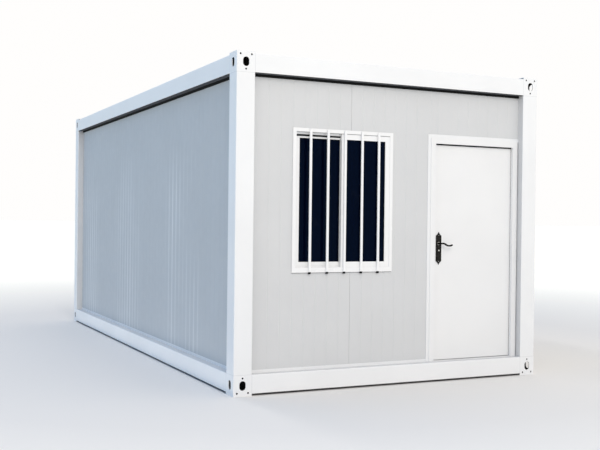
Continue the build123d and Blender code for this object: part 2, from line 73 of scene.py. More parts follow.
# The lights: a key in front, a strip over the left wall, a strip on the ground
KEY_PLACE = Vector((-2.5, -12.5, 7.5))
KEY_AIM = Vector((0.0, 0.0, 1.3))
KEY_SIZE = (3.5, 3.5)
KEY_POWER = 240.0
KEY_COLOUR = (1.0, 0.955, 0.92)
OVERHEAD_PLACE = Vector((-1.9, 0.0, 8.0))
OVERHEAD_SIZE = (0.6, 6.0)
OVERHEAD_POWER = 105.0
BOUNCE_PLACE = Vector((-1.8, 0.0, 0.03))
BOUNCE_SIZE = (0.5, 6.0)
BOUNCE_POWER = 4.0
BOUNCE_COLOUR = (1.0, 0.92, 0.80)
FACING_DOWN = (0, 0, 0)
FACING_UP = (math.pi, 0, 0)

# Colours
FRAME_WHITE = (0.86, 0.865, 0.87)
SEAM_GREY = (0.25, 0.26, 0.28)
# Bare steel in the corner blocks' hollows, darkened to near-black as painted shade
HOLLOW_SHADE_BLACK = (0.012, 0.012, 0.013)
PANEL_GREY = (0.66, 0.665, 0.67)
# The long walls' coat, darker and cooler than the end walls', is painted shade
SHADED_SIDE_PANEL_GREY = (0.53, 0.555, 0.575)
# The painted highlight on the long walls' ribs
PAINTED_RIB_GLINT = (0.80, 0.82, 0.83)
SEALANT_GREY = (0.60, 0.605, 0.61)
TRIM_WHITE = (0.84, 0.845, 0.85)
PLASTIC_WHITE = (0.88, 0.88, 0.88)
DOOR_WHITE = (0.84, 0.84, 0.84)
BAR_WHITE = (0.90, 0.90, 0.90)
CEILING_WHITE = (0.82, 0.82, 0.81)
ROOF_GREY = (0.66, 0.70, 0.72)
BRONZE = (0.003, 0.003, 0.003)
BRONZE_RUBBED = (0.20, 0.18, 0.15)
GLASS_TINT = (0.001, 0.004, 0.020)
GLASS_SHEEN = (0.25, 0.5, 1.0)
DUST_GREY = (0.5, 0.5, 0.5)
RUBBER_BLACK = (0.008, 0.008, 0.008)
RUBBER_GREY = (0.16, 0.16, 0.16)
STEEL = (0.55, 0.55, 0.55)
SCREW_ZINC = (0.6, 0.6, 0.58)
NICKEL = (0.70, 0.68, 0.62)
ZINC_DARK = (0.48, 0.50, 0.52)
ZINC_LIGHT = (0.66, 0.68, 0.70)
VINYL_DARK = (0.40, 0.33, 0.25)
VINYL_LIGHT = (0.55, 0.48, 0.39)

# How finishes behave
NOISE_SPAN = (0.3, 0.7)
WEAR_SCALE = 1.7
WEAR_DETAIL = 5.0
WEAR_SPAN = (0.35, 0.7)
SEAM_HALF_WIDTH = 1.2 * MILLIMETRE
SEAM_STRENGTH = 0.35
# Frame faces that point down past this tilt are painted near-black, as painted shade
UNDERSIDE_TILT = -0.5
PAINTED_UNDERSIDE_SHADE = 0.03
HOLLOW_INSET = 6 * MILLIMETRE
FRAME_SPECULAR = 0.8
PANEL_SPECULAR = 0.2
BRONZE_SPECULAR = 0.12
RUBBER_SPECULAR = 0.08
GLASS_TRANSMISSION = 0.6
GLASS_IOR = 1.16
DUST_SPAN = (0.6, 0.85)
DUST_STRENGTH = 0.015
RUBBED_EDGES = (0.58, 0.74)
RUBBED_SPOTS = (0.35, 0.65)
RUBBED_STRENGTH = 0.5

# The ribs of the long walls get a painted highlight on every second panel, low down
# and in patches. The spans say where the glint begins and where it is full.
PANEL_WIDTH = 980 * MILLIMETRE
RIBS_PER_PANEL = 9
GLINT_STRENGTH = 0.6
GLINT_RIPPLE = (0.80, 0.97)
GLINT_PANELS = (-0.3, 0.4)
GLINT_HEIGHT = (2.2, 1.6)
GLINT_PATCHES = (0.35, 0.6)
GLINT_STRETCH = (1.0, 1.6, 0.5)

# Levels and planes that the finishes and small parts are placed by
base_low, base_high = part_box("base_block_front_left")
head_low, head_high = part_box("head_block_front_left")
wall_low, wall_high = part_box("left_wall")
seam_low = base_high.z
seam_high = head_low.z
seam_x = abs(base_high.x)
seam_y = abs(base_high.y)
block_reach_x = abs(base_low.x)
block_reach_y = abs(base_low.y)
side_wall_start = max(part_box("back_wall")[1].x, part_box("front_wall_over_door")[1].x)
side_wall_middle = abs(wall_low.x + wall_high.x) / 2
panel_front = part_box("front_wall_left")[0].y


class Shading:
    """The nodes of one material or sky, and the helpers that join them."""

    def __init__(self, tree, coordinates):
        self.tree = tree
        self.place = self.add("ShaderNodeTexCoord").outputs[coordinates]

    def add(self, kind, **settings):
        node = self.tree.nodes.new(kind)
        for setting, value in settings.items():
            setattr(node, setting, value)
        return node

    def join(self, source, target):
        if isinstance(source, (int, float, tuple)):
            target.default_value = source
        else:
            self.tree.links.new(source, target)

    def join_colour(self, source, target):
        self.join((*source, 1.0) if isinstance(source, tuple) else source, target)

    def axes(self, vector=None):
        node = self.add("ShaderNodeSeparateXYZ")
        self.join(self.place if vector is None else vector, node.inputs[0])
        return node.outputs

    def maths(self, operation, first, second=0.0):
        node = self.add("ShaderNodeMath", operation=operation)
        self.join(first, node.inputs[0])
        self.join(second, node.inputs[1])
        return node.outputs[0]

    def product(self, first, *others):
        for other in others:
            first = self.maths("MULTIPLY", first, other)
        return first

    def span(self, value, low, high, to_low=0.0, to_high=1.0):
        node = self.add("ShaderNodeMapRange")
        self.join(value, node.inputs["Value"])
        node.inputs["From Min"].default_value = low
        node.inputs["From Max"].default_value = high
        node.inputs["To Min"].default_value = to_low
        node.inputs["To Max"].default_value = to_high
        return node.outputs[0]

    def blend(self, factor, first, second):
        node = self.add("ShaderNodeMix", data_type="RGBA")
        self.join(factor, node.inputs["Factor"])
        self.join_colour(first, node.inputs[6])
        self.join_colour(second, node.inputs[7])
        return node.outputs[2]

    def noise(self, scale, detail=3.0, stretch=(1, 1, 1)):
        mapping = self.add("ShaderNodeMapping")
        mapping.inputs["Scale"].default_value = stretch
        self.join(self.place, mapping.inputs["Vector"])
        node = self.add("ShaderNodeTexNoise")
        node.inputs["Scale"].default_value = scale
        node.inputs["Detail"].default_value = detail
        self.join(mapping.outputs[0], node.inputs["Vector"])
        return node.outputs["Fac"]


class Finish(Shading):
    """One procedural material, built from a Principled shader."""

    def __init__(self, name):
        self.material = bpy.data.materials.new(name)
        self.material.use_nodes = True
        super().__init__(self.material.node_tree, "Object")
        self.shader = self.tree.nodes["Principled BSDF"]

    def value(self, socket, value):
        self.join(value, self.shader.inputs[socket])

    def colour(self, value, socket="Base Color"):
        self.join_colour(value, self.shader.inputs[socket])

    def roughness(self, pattern, low, high):
        """Roughness from low to high where a noise goes through its usual span."""
        self.value("Roughness", self.span(pattern, *NOISE_SPAN, low, high))

    def bump(self, *layers):
        """Layers of (height, depth in metres), the coarsest first."""
        normal = None
        for height, depth in layers:
            node = self.add("ShaderNodeBump")
            node.inputs["Distance"].default_value = depth
            self.join(height, node.inputs["Height"])
            if normal is not None:
                self.join(normal, node.inputs["Normal"])
            normal = node.outputs[0]
        self.join(normal, self.shader.inputs["Normal"])


def shade(colour, factor):
    """A colour made darker or lighter."""
    return tuple(part * factor for part in colour)


def near(finish, coordinate, level):
    """1 within a seam's half width of a level, else 0."""
    distance = finish.maths("ABSOLUTE", finish.maths("SUBTRACT", coordinate, level))
    return finish.maths("LESS_THAN", distance, SEAM_HALF_WIDTH)


def weld_seams(finish, x, y, z):
    """1 on the seams between the corner blocks, the posts and the beams, else 0."""
    seams = finish.maths("MAXIMUM", near(finish, z, seam_low), near(finish, z, seam_high))
    for coordinate, level in ((x, seam_x), (y, seam_y)):
        distance = finish.maths("ABSOLUTE", coordinate)
        seams = finish.maths("MAXIMUM", seams, near(finish, distance, level))
    return seams


def painted_hollow_shade(finish, x, y, z):
    """1 on the inner faces of the corner blocks' hollows, where bare steel is painted near-black as
    painted shade, else 0.
    """
    low = finish.maths("LESS_THAN", z, seam_low - HOLLOW_INSET)
    high = finish.maths("GREATER_THAN", z, seam_high + HOLLOW_INSET)
    return finish.product(
        finish.maths("LESS_THAN", finish.maths("ABSOLUTE", x), block_reach_x - HOLLOW_INSET),
        finish.maths("LESS_THAN", finish.maths("ABSOLUTE", y), block_reach_y - HOLLOW_INSET),
        finish.maths("GREATER_THAN", z, HOLLOW_INSET),
        finish.maths("LESS_THAN", z, head_high.z - HOLLOW_INSET),
        finish.maths("MAXIMUM", low, high),
    )


def painted_rib_glint(finish, x, y, z):
    """How much painted highlight the ribs on the outer faces of the long walls get."""
    ripple = finish.maths("SINE", finish.product(y, math.pi * RIBS_PER_PANEL / PANEL_WIDTH))
    panels = finish.maths("SINE", finish.product(y, math.pi / PANEL_WIDTH))
    patches = finish.noise(1.0, stretch=GLINT_STRETCH)
    return finish.product(
        finish.span(finish.maths("ABSOLUTE", ripple), *GLINT_RIPPLE),
        finish.span(panels, *GLINT_PANELS),
        finish.span(patches, *GLINT_PATCHES, 0.0, GLINT_STRENGTH),
        finish.span(z, *GLINT_HEIGHT),
        finish.maths("GREATER_THAN", finish.maths("ABSOLUTE", x), side_wall_middle),
    )


def paint_wear(finish, colour, tint):
    """Slightly uneven colour with faint dust in broad patches."""
    patches = finish.span(finish.noise(WEAR_SCALE, WEAR_DETAIL), *WEAR_SPAN)
    return finish.blend(patches, colour, shade(colour, tint))


def frame_paint(name, shaded_hollows):
    """White paint on cold-formed steel, with weld seams, undersides painted near-black as painted shade,
    and, where asked, painted shade in the blocks' hollows.
    """
    finish = Finish(name)
    x, y, z = finish.axes()
    normal = finish.axes(finish.add("ShaderNodeNewGeometry").outputs["True Normal"])
    # Painted shade: faces that point down get a near-black colour.
    painted_shade_under = finish.maths("LESS_THAN", normal["Z"], UNDERSIDE_TILT)
    paint = paint_wear(finish, FRAME_WHITE, tint=0.96)
    paint = finish.blend(painted_shade_under, paint, shade(FRAME_WHITE, PAINTED_UNDERSIDE_SHADE))
    seams = finish.product(weld_seams(finish, x, y, z), SEAM_STRENGTH)
    paint = finish.blend(seams, paint, SEAM_GREY)
    # Painted shade: the corner blocks' hollows are near-black.
    if shaded_hollows:
        paint = finish.blend(painted_hollow_shade(finish, x, y, z), paint, HOLLOW_SHADE_BLACK)
    finish.colour(paint)
    finish.roughness(finish.noise(30.0), 0.32, 0.46)
    # No reflection on the undersides, part of their painted shade.
    finish.value("Specular IOR Level", finish.span(painted_shade_under, 0.0, 1.0, FRAME_SPECULAR, 0.0))
    waves = finish.noise(2.2, detail=2.0)
    orange_peel = finish.noise(420.0, detail=2.0)
    finish.bump((waves, 0.9 * MILLIMETRE), (orange_peel, 0.05 * MILLIMETRE))
    return finish.material


def panel_coating():
    """Matt light grey coil coating with a fine stucco grain; on the long walls a darker, cooler grey as
    painted shade, and a painted highlight on some ribs.
    """
    finish = Finish("panel_coating")
    x, y, z = finish.axes()
    # Painted shade: the long walls get a darker, cooler grey.
    painted_shade_side = finish.maths("GREATER_THAN", finish.maths("ABSOLUTE", x), side_wall_start)
    end_coat = paint_wear(finish, PANEL_GREY, tint=0.965)
    shaded_side_coat = paint_wear(finish, SHADED_SIDE_PANEL_GREY, tint=0.965)
    # Painted highlight on some ribs of the long walls.
    shaded_side_coat = finish.blend(painted_rib_glint(finish, x, y, z), shaded_side_coat, PAINTED_RIB_GLINT)
    finish.colour(finish.blend(painted_shade_side, end_coat, shaded_side_coat))
    finish.roughness(finish.noise(12.0), 0.42, 0.58)
    finish.value("Specular IOR Level", PANEL_SPECULAR)
    waves = finish.noise(1.1, detail=1.0)
    stucco = finish.noise(650.0, detail=2.0)
    finish.bump((waves, 2.0 * MILLIMETRE), (stucco, 0.04 * MILLIMETRE))
    return finish.material


def white_paint(name, colour, roughness, grain=500.0):
    """A smooth coat with a little orange peel."""
    finish = Finish(name)
    finish.colour(paint_wear(finish, colour, tint=0.97))
    finish.roughness(finish.noise(25.0), *roughness)
    waves = finish.noise(1.8, detail=1.0)
    orange_peel = finish.noise(grain, detail=2.0)
    finish.bump((waves, 0.6 * MILLIMETRE), (orange_peel, 0.03 * MILLIMETRE))
    return finish.material


def window_glass():
    """Dark float glass with a little dust in patches."""
    finish = Finish("window_glass")
    dust = finish.span(finish.noise(9.0, detail=6.0), *DUST_SPAN, 0.0, DUST_STRENGTH)
    finish.colour(finish.blend(dust, GLASS_TINT, DUST_GREY))
    finish.value("Transmission Weight", GLASS_TRANSMISSION)
    finish.value("IOR", GLASS_IOR)
    finish.colour(GLASS_SHEEN, "Specular Tint")
    finish.roughness(finish.noise(60.0), 0.01, 0.05)
    finish.bump((finish.noise(3.0, detail=1.0), 0.3 * MILLIMETRE))
    return finish.material


def bronze_lacquer():
    """Dark bronze lacquer, rubbed bright along its edges."""
    finish = Finish("bronze_lacquer")
    edges = finish.add("ShaderNodeNewGeometry").outputs["Pointiness"]
    rubbed = finish.span(edges, *RUBBED_EDGES, 0.0, RUBBED_STRENGTH)
    rubbed = finish.product(rubbed, finish.span(finish.noise(160.0), *RUBBED_SPOTS))
    finish.colour(finish.blend(rubbed, BRONZE, BRONZE_RUBBED))
    finish.value("Specular IOR Level", BRONZE_SPECULAR)
    finish.roughness(finish.noise(220.0), 0.22, 0.36)
    finish.bump((finish.noise(700.0), 0.02 * MILLIMETRE))
    return finish.material


def bare_steel(name, colour, roughness, stretch=(1, 1, 1)):
    """Bright metal with fine streaks, drawn out where it is brushed one way."""
    finish = Finish(name)
    streaks = finish.noise(500.0, 4.0, stretch)
    finish.colour(finish.blend(streaks, colour, shade(colour, 0.8)))
    finish.value("Metallic", 1.0)
    finish.roughness(streaks, *roughness)
    finish.bump((streaks, 0.02 * MILLIMETRE))
    return finish.material


def galvanised():
    """Zinc with a spangle."""
    finish = Finish("galvanised_steel")
    cells = finish.add("ShaderNodeTexVoronoi")
    cells.inputs["Scale"].default_value = 90.0
    finish.join(finish.place, cells.inputs["Vector"])
    grey = finish.add("ShaderNodeSeparateColor")
    finish.join(cells.outputs["Color"], grey.inputs[0])
    finish.colour(finish.blend(grey.outputs[0], ZINC_DARK, ZINC_LIGHT))
    finish.value("Metallic", 0.85)
    finish.value("Roughness", finish.span(grey.outputs[1], 0.0, 1.0, 0.35, 0.6))
    finish.bump((finish.noise(300.0), 0.03 * MILLIMETRE))
    return finish.material


def vinyl_floor():
    """Sheet vinyl with a fine mottled grain."""
    finish = Finish("vinyl_floor")
    grain = finish.noise(55.0, 8.0, (1, 6, 1))
    finish.colour(finish.blend(grain, VINYL_DARK, VINYL_LIGHT))
    finish.roughness(grain, 0.4, 0.55)
    finish.bump((grain, 0.1 * MILLIMETRE))
    return finish.material


def rubber(name, colour):
    """Matt rubber with a slight bloom."""
    finish = Finish(name)
    finish.colour(finish.blend(finish.noise(90.0), colour, shade(colour, 1.8)))
    finish.roughness(finish.noise(200.0), 0.6, 0.8)
    finish.value("Specular IOR Level", RUBBER_SPECULAR)
    finish.bump((finish.noise(900.0), 0.03 * MILLIMETRE))
    return finish.material


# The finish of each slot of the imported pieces, and those of the small parts
finishes = {
    "frame_white": frame_paint("frame_paint", shaded_hollows=False),
    "wall_panel": panel_coating(),
    "wall_trim": white_paint("trim_paint", TRIM_WHITE, (0.35, 0.5)),
    "window_plastic": white_paint("window_plastic_gloss", PLASTIC_WHITE, (0.16, 0.28), grain=250.0),
    "pane_glass": window_glass(),
    "bar_white": white_paint("bar_powder_coat", BAR_WHITE, (0.30, 0.42), grain=900.0),
    "door_white": white_paint("door_paint", DOOR_WHITE, (0.30, 0.42), grain=450.0),
    "lock_bronze": bronze_lacquer(),
    "hinge_steel": bare_steel("hinge_satin_steel", STEEL, (0.25, 0.4), stretch=(1, 1, 0.05)),
    "galvanised": galvanised(),
    "roof_steel": white_paint("roof_zinc_paint", ROOF_GREY, (0.35, 0.5)),
    "floor_covering": vinyl_floor(),
    "ceiling_white": white_paint("ceiling_paint", CEILING_WHITE, (0.45, 0.6)),
}
# The corner blocks' paint, with painted shade in their hollows
block_paint_shaded_hollows = frame_paint("block_paint_shaded_hollows", shaded_hollows=True)
black_rubber = rubber("black_rubber", RUBBER_BLACK)
grey_rubber = rubber("grey_rubber", RUBBER_GREY)
wall_sealant = rubber("wall_sealant", SEALANT_GREY)
zinc_screw = bare_steel("zinc_screw", SCREW_ZINC, (0.25, 0.4))
nickel = bare_steel("cylinder_nickel", NICKEL, (0.15, 0.3))

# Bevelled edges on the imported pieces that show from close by, in millimetres
EDGE_BEVELS = {
    "window_frame": 1.5,
    "window_sashes": 1.5,
    "window_bars": 0.8,
    "door_frame": 1.5,
    "door_leaf": 2.0,
    "door_surround": 0.8,
    "lock_plates": 1.2,
    "lever_outer": 0.8,
    "lever_inner": 0.8,
    "hinge_frame_side": 0.5,
    "hinge_leaf_side": 0.5,
}
EDGE_ANGLE = math.radians(35)
SMALL_PART_ANGLE = math.radians(30)
BEVEL_SEGMENTS = 2
LATCH_BEVEL_SEGMENTS = 3


def bevel_edges(piece, width, segments, angle):
    """Soften the edges of a piece that turn by more than an angle."""
    bevel = piece.modifiers.new("edge", "BEVEL")
    bevel.width = width
    bevel.segments = segments
    bevel.limit_method = "ANGLE"
    bevel.angle_limit = angle


def dress_packed_pieces():
    """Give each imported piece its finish, and soften the edges that show."""
    for part in frame["record"]["subparts"]:
        is_block = "_block_" in part["node"]
        for material_slot in frame["nodes"][part["node"]].material_slots:
            material_slot.link = "OBJECT"
            material_slot.material = block_paint_shaded_hollows if is_block else finishes[part["material_slot"]]
    for node, width in EDGE_BEVELS.items():
        bevel_edges(frame["nodes"][node], width * MILLIMETRE, BEVEL_SEGMENTS, EDGE_ANGLE)


def make_piece(name, mesh_builder, material, body):
    """A mesh piece from a function that fills a bmesh, riding on a body."""
    shape = bmesh.new()
    mesh_builder(shape)
    mesh = bpy.data.meshes.new(name)
    shape.to_mesh(mesh)
    shape.free()
    mesh.materials.append(material)
    piece = bpy.data.objects.new(name, mesh)
    bpy.context.scene.collection.objects.link(piece)
    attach(piece, body)
    return piece


def add_box(shape, low, high):
    """A box between two corners."""
    size = Vector(high) - Vector(low)
    middle = (Vector(high) + Vector(low)) / 2
    place = Matrix.Translation(middle) @ Matrix.Diagonal((*size, 1))
    bmesh.ops.create_cube(shape, size=1.0, matrix=place)


def add_ring(shape, low, high, width):
    """Four strips just inside a box seen from the front, as wide as given."""
    add_box(shape, low, (low[0] + width, high[1], high[2]))
    add_box(shape, (high[0] - width, low[1], low[2]), high)
    add_box(shape, (low[0] + width, low[1], low[2]), (high[0] - width, high[1], low[2] + width))
    add_box(shape, (low[0] + width, low[1], high[2] - width), (high[0] - width, high[1], high[2]))


DISC_SIDES = 20
DISC_TAPER = 0.8


def add_disc(shape, place, direction, radius, height, sides=DISC_SIDES):
    """A short cone that stands on place, towards direction."""
    turn = Vector((0, 0, 1)).rotation_difference(Vector(direction)).to_matrix().to_4x4()
    middle = Vector(place) + Vector(direction) * height / 2
    bmesh.ops.create_cone(
        shape,
        cap_ends=True,
        segments=sides,
        radius1=radius,
        radius2=radius * DISC_TAPER,
        depth=height,
        matrix=Matrix.Translation(middle) @ turn,
    )


SCREW_ROUNDING = 0.4


def screw_heads(name, places, direction, radius, height, body):
    """Low rounded screw heads that stand on places, towards direction."""

    def heads(shape):
        for place in places:
            add_disc(shape, place, direction, radius, height)

    piece = make_piece(name, heads, zinc_screw, body)
    bevel_edges(piece, height * SCREW_ROUNDING, BEVEL_SEGMENTS, SMALL_PART_ANGLE)


# Sizes of the window as in the part's source
SASH_RAIL = 45 * MILLIMETRE
SASH_DEPTH = 24 * MILLIMETRE
GLASS_THICKNESS = 5 * MILLIMETRE
FRAME_FACE = 30 * MILLIMETRE
HEAD_FIN_DROP = 20 * MILLIMETRE
BAR_COUNT = 5
BAR_WIDTH = 22 * MILLIMETRE

# Sizes of the window's small parts
GASKET_WIDTH = 4 * MILLIMETRE
GASKET_DEPTH = 3 * MILLIMETRE
HEAD_SEAL_INSET = 1 * MILLIMETRE
BRUSH_DROP = 14 * MILLIMETRE
BRUSH_DEPTH = 5 * MILLIMETRE
LATCH_INSET = 6 * MILLIMETRE
LATCH_LEVEL = 1.57
LATCH_WIDTH = 16 * MILLIMETRE
LATCH_DEPTH = 3 * MILLIMETRE
LATCH_HALF_HEIGHT = 30 * MILLIMETRE
LATCH_ROUNDING = 1.2 * MILLIMETRE
THUMB_INSET = 1 * MILLIMETRE
THUMB_WIDTH = 10 * MILLIMETRE
THUMB_DEPTH = 6 * MILLIMETRE
THUMB_HALF_HEIGHT = 10 * MILLIMETRE
# Black feet below the bars, which are also painted shade
FOOT_HALF_WIDTH = 8.5 * MILLIMETRE
FOOT_INSET = 2 * MILLIMETRE
FOOT_DROP = 12 * MILLIMETRE
FOOT_WALL_GAP = 0.2 * MILLIMETRE
FOOT_BACK_INSET = 0.5 * MILLIMETRE
# A grey bead under the window frame, partly a seal and partly painted shade
SILL_SEAL_INSET = 2 * MILLIMETRE
SILL_SEAL_DEPTH = 5 * MILLIMETRE
SILL_SHADE_DROP = 4 * MILLIMETRE

# The window's planes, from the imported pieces
frame_low, frame_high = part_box("window_frame")
sash_low, sash_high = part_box("window_sashes")
bars_low, bars_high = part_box("window_bars")
sash_width = (sash_high.x - sash_low.x + SASH_RAIL) / 2
outer_sash_left = sash_high.x - sash_width
outer_sash_front = sash_low.y
inner_sash_front = sash_high.y - SASH_DEPTH
frame_head = frame_high.z - FRAME_FACE


def gasket_builder(left, front):
    """Rubber round one pane, on the outside and the inside."""

    def build(shape):
        low_x = left + SASH_RAIL
        high_x = left + sash_width - SASH_RAIL
        low_z = sash_low.z + SASH_RAIL
        high_z = sash_high.z - SASH_RAIL
        pane_front = front + SASH_DEPTH / 2 - GLASS_THICKNESS / 2
        pane_back = front + SASH_DEPTH / 2 + GLASS_THICKNESS / 2
        for start, end in ((pane_front - GASKET_DEPTH, pane_front), (pane_back, pane_back + GASKET_DEPTH)):
            add_ring(shape, (low_x, start, low_z), (high_x, end, high_z), GASKET_WIDTH)

    return build


def head_brush_seal(shape):
    """A brush under the fin of the frame's head, over the inner sash."""
    fin_bottom = frame_head - HEAD_FIN_DROP
    front = outer_sash_front + SASH_DEPTH + HEAD_SEAL_INSET
    add_box(
        shape,
        (sash_low.x, front, fin_bottom - BRUSH_DROP),
        (outer_sash_left, front + BRUSH_DEPTH, fin_bottom),
    )


def head_shadow_strip(shape):
    """A grey strip along the front of the frame's head, which is painted shade under the head's face."""
    front = frame_low.y + HEAD_SEAL_INSET
    add_box(
        shape,
        (sash_low.x, front, frame_head - GASKET_WIDTH),
        (sash_high.x, front + GASKET_DEPTH, frame_head),
    )


def sash_latch(shape):
    """A plate on the outer sash's left rail, with a thumb piece."""
    right = outer_sash_left + SASH_RAIL - LATCH_INSET
    front = outer_sash_front - LATCH_DEPTH
    add_box(
        shape,
        (right - LATCH_WIDTH, front, LATCH_LEVEL - LATCH_HALF_HEIGHT),
        (right, outer_sash_front, LATCH_LEVEL + LATCH_HALF_HEIGHT),
    )
    thumb_right = right - THUMB_INSET
    add_box(
        shape,
        (thumb_right - THUMB_WIDTH, front - THUMB_DEPTH, LATCH_LEVEL - THUMB_HALF_HEIGHT),
        (thumb_right, front, LATCH_LEVEL + THUMB_HALF_HEIGHT),
    )


def bar_plugs_and_shadow_feet(shape):
    """A plug in each bar's lower end, and a black foot from it to the wall that is also painted shade, the
    bar's shadow below the frame.
    """
    pitch = (bars_high.x - bars_low.x - BAR_WIDTH) / (BAR_COUNT - 1)
    front = bars_low.y + FOOT_INSET
    for index in range(BAR_COUNT):
        middle = bars_low.x + BAR_WIDTH / 2 + index * pitch
        left, right = middle - FOOT_HALF_WIDTH, middle + FOOT_HALF_WIDTH
        add_box(
            shape,
            (left, front, frame_low.z - FOOT_DROP),
            (right, panel_front - FOOT_WALL_GAP, frame_low.z),
        )
        add_box(shape, (left, front, frame_low.z), (right, bars_high.y - FOOT_BACK_INSET, bars_low.z))


def window_sill_seal_and_shade(shape):
    """A bead under the frame, against the wall, grey so that it is also painted shade: the frame's shadow
    on the wall.
    """
    add_box(
        shape,
        (frame_low.x + SILL_SEAL_INSET, panel_front - SILL_SEAL_DEPTH, frame_low.z - SILL_SHADE_DROP),
        (frame_high.x - SILL_SEAL_INSET, panel_front, frame_low.z),
    )


def window_details():
    """The window's gaskets, seals and latch and the feet of its bars; the grey strip under the head is
    painted shade, and the sill bead and the bars' feet are partly painted shade.
    """
    inner_gasket = gasket_builder(sash_low.x, inner_sash_front)
    outer_gasket = gasket_builder(outer_sash_left, outer_sash_front)
    make_piece("gasket_inner_sash", inner_gasket, black_rubber, "house")
    make_piece("gasket_outer_sash", outer_gasket, black_rubber, "house")
    make_piece("head_brush_seal", head_brush_seal, black_rubber, "house")
    # A grey strip under the head's face, as painted shade
    make_piece("head_shadow_strip", head_shadow_strip, grey_rubber, "house")
    plastic = finishes["window_plastic"]
    latch = make_piece("sash_latch", sash_latch, plastic, "house")
    bevel_edges(latch, LATCH_ROUNDING, LATCH_BEVEL_SEGMENTS, SMALL_PART_ANGLE)
    make_piece("bar_plugs_and_shadow_feet", bar_plugs_and_shadow_feet, black_rubber, "house")
    make_piece("window_sill_seal_and_shade", window_sill_seal_and_shade, grey_rubber, "house")


# Sizes of the door and its lock as in the part's source
LEAF_GAP = 5 * MILLIMETRE
STOP_OVERLAP = 12 * MILLIMETRE
LOCK_PLATE = 6 * MILLIMETRE
PLATE_ABOVE_CYLINDER = 165 * MILLIMETRE
LEVER_ABOVE_CYLINDER = 62 * MILLIMETRE

# Sizes of the door's small parts
DOOR_SEAL_WIDTH = 9 * MILLIMETRE
DOOR_SEAL_INSET = 1.5 * MILLIMETRE
DOOR_SEAL_GAP = 0.3 * MILLIMETRE
HEAD_LIP_DROP = 11 * MILLIMETRE
HEAD_LIP_FRONT = 1 * MILLIMETRE
PLATE_SCREW_INSET = 30 * MILLIMETRE
PLATE_SCREW_RADIUS = 3.2 * MILLIMETRE
PLATE_SCREW_HEIGHT = 1.2 * MILLIMETRE
CYLINDER_FACE_RADIUS = 7 * MILLIMETRE
CYLINDER_FACE_HEIGHT = 0.6 * MILLIMETRE
WASHER_RADIUS = 14 * MILLIMETRE
WASHER_HEIGHT = 0.25 * MILLIMETRE
WASHER_SIDES = 32
OUTWARDS = (0, -1, 0)
INWARDS = (0, 1, 0)

# The door's planes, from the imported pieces
door_low, door_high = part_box("door_leaf")
plates_low, plates_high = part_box("lock_plates")
plate_front = door_low.y - LOCK_PLATE
plate_back = door_high.y + LOCK_PLATE
lock_x = (plates_low.x + plates_high.x) / 2
cylinder_z = plates_high.z - PLATE_ABOVE_CYLINDER
lever_z = cylinder_z + LEVER_ABOVE_CYLINDER


def door_seal(shape):
    """Rubber between the leaf and the rebate, with a lip under the head's stop."""
    front = door_low.y - LEAF_GAP
    back = door_low.y - DOOR_SEAL_GAP
    low_x, high_x = door_low.x + DOOR_SEAL_INSET, door_high.x - DOOR_SEAL_INSET
    high_z = door_high.z - DOOR_SEAL_INSET
    add_box(shape, (low_x, front, door_low.z), (low_x + DOOR_SEAL_WIDTH, back, door_high.z))
    add_box(shape, (high_x - DOOR_SEAL_WIDTH, front, door_low.z), (high_x, back, door_high.z))
    add_box(shape, (low_x, front, high_z - DOOR_SEAL_WIDTH), (high_x, back, high_z))
    way_top = door_high.z - STOP_OVERLAP
    add_box(
        shape,
        (door_low.x + STOP_OVERLAP, front - HEAD_LIP_FRONT, way_top - HEAD_LIP_DROP),
        (door_high.x - STOP_OVERLAP, back, way_top),
    )


def cylinder_faces(shape):
    """The bright round faces of the lock cylinder, outside and inside."""
    for y, direction in ((plates_low.y, OUTWARDS), (plates_high.y, INWARDS)):
        add_disc(shape, (lock_x, y, cylinder_z), direction, CYLINDER_FACE_RADIUS, CYLINDER_FACE_HEIGHT)


def hub_washers(shape):
    """Thin washers between the lock plates and the levers."""
    for y, direction in ((plate_front, OUTWARDS), (plate_back, INWARDS)):
        add_disc(shape, (lock_x, y, lever_z), direction, WASHER_RADIUS, WASHER_HEIGHT, WASHER_SIDES)


def door_details():
    """The seal in the rebate, the lock plates' screws, the cylinder's faces and the washers."""
    make_piece("door_seal", door_seal, black_rubber, "house")
    screw_levels = (plates_low.z + PLATE_SCREW_INSET, plates_high.z - PLATE_SCREW_INSET)
    for name, y, direction in (
        ("outer_plate_screws", plate_front, OUTWARDS),
        ("inner_plate_screws", plate_back, INWARDS),
    ):
        places = [(lock_x, y, z) for z in screw_levels]
        screw_heads(name, places, direction, PLATE_SCREW_RADIUS, PLATE_SCREW_HEIGHT, "door")
    make_piece("cylinder_faces", cylinder_faces, nickel, "door")
    make_piece("hub_washers", hub_washers, nickel, "door")


EAVES_FLANGE = 62 * MILLIMETRE
# The black strips hang this far below the beams as painted shade on the wall
EAVES_SHADOW_DROP = 20 * MILLIMETRE
EAVES_SEAL_RISE = 12 * MILLIMETRE
EAVES_SEAL_THICKNESS = 9.4 * MILLIMETRE
EAVES_SEAL_GAP = 0.3 * MILLIMETRE
EAVES_SEAL_END_GAP = 0.5 * MILLIMETRE


